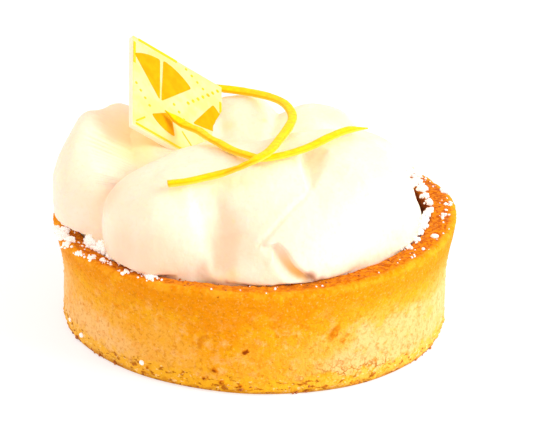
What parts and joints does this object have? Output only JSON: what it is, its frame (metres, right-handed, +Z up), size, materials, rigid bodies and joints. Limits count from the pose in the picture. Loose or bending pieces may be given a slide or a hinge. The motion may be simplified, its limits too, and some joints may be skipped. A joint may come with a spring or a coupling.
{
  "type": "lemon meringue pie",
  "caption": "Individual round lemon meringue tartlet: straight shortcrust case, folded glossy meringue, printed square plaque and curled strips of lemon zest.",
  "frame": {"origin": "centre of the flat underside of the crust, on the surface that the pie stands on", "axes": "+Z up out of the pie; -Y faces the viewer, towards the front of the pie; +X to the viewer's right"},
  "size_m": [0.0805, 0.08, 0.0529],
  "materials": {
    "crust": "baked golden shortcrust, matt, finely pored, darker at the rim",
    "meringue": "soft unbrowned meringue, smooth with a satin sheen",
    "plaque": "cream white chocolate with a yellow printed citrus pattern, soft gloss",
    "zest": "moist candied lemon peel, satin"
  },
  "bodies": {
    "root": {"crust": "crust", "meringue": "meringue", "lemon_plaque": "plaque", "zest_loop": "zest", "zest_ribbon": "zest"}
  },
  "joints": []
}
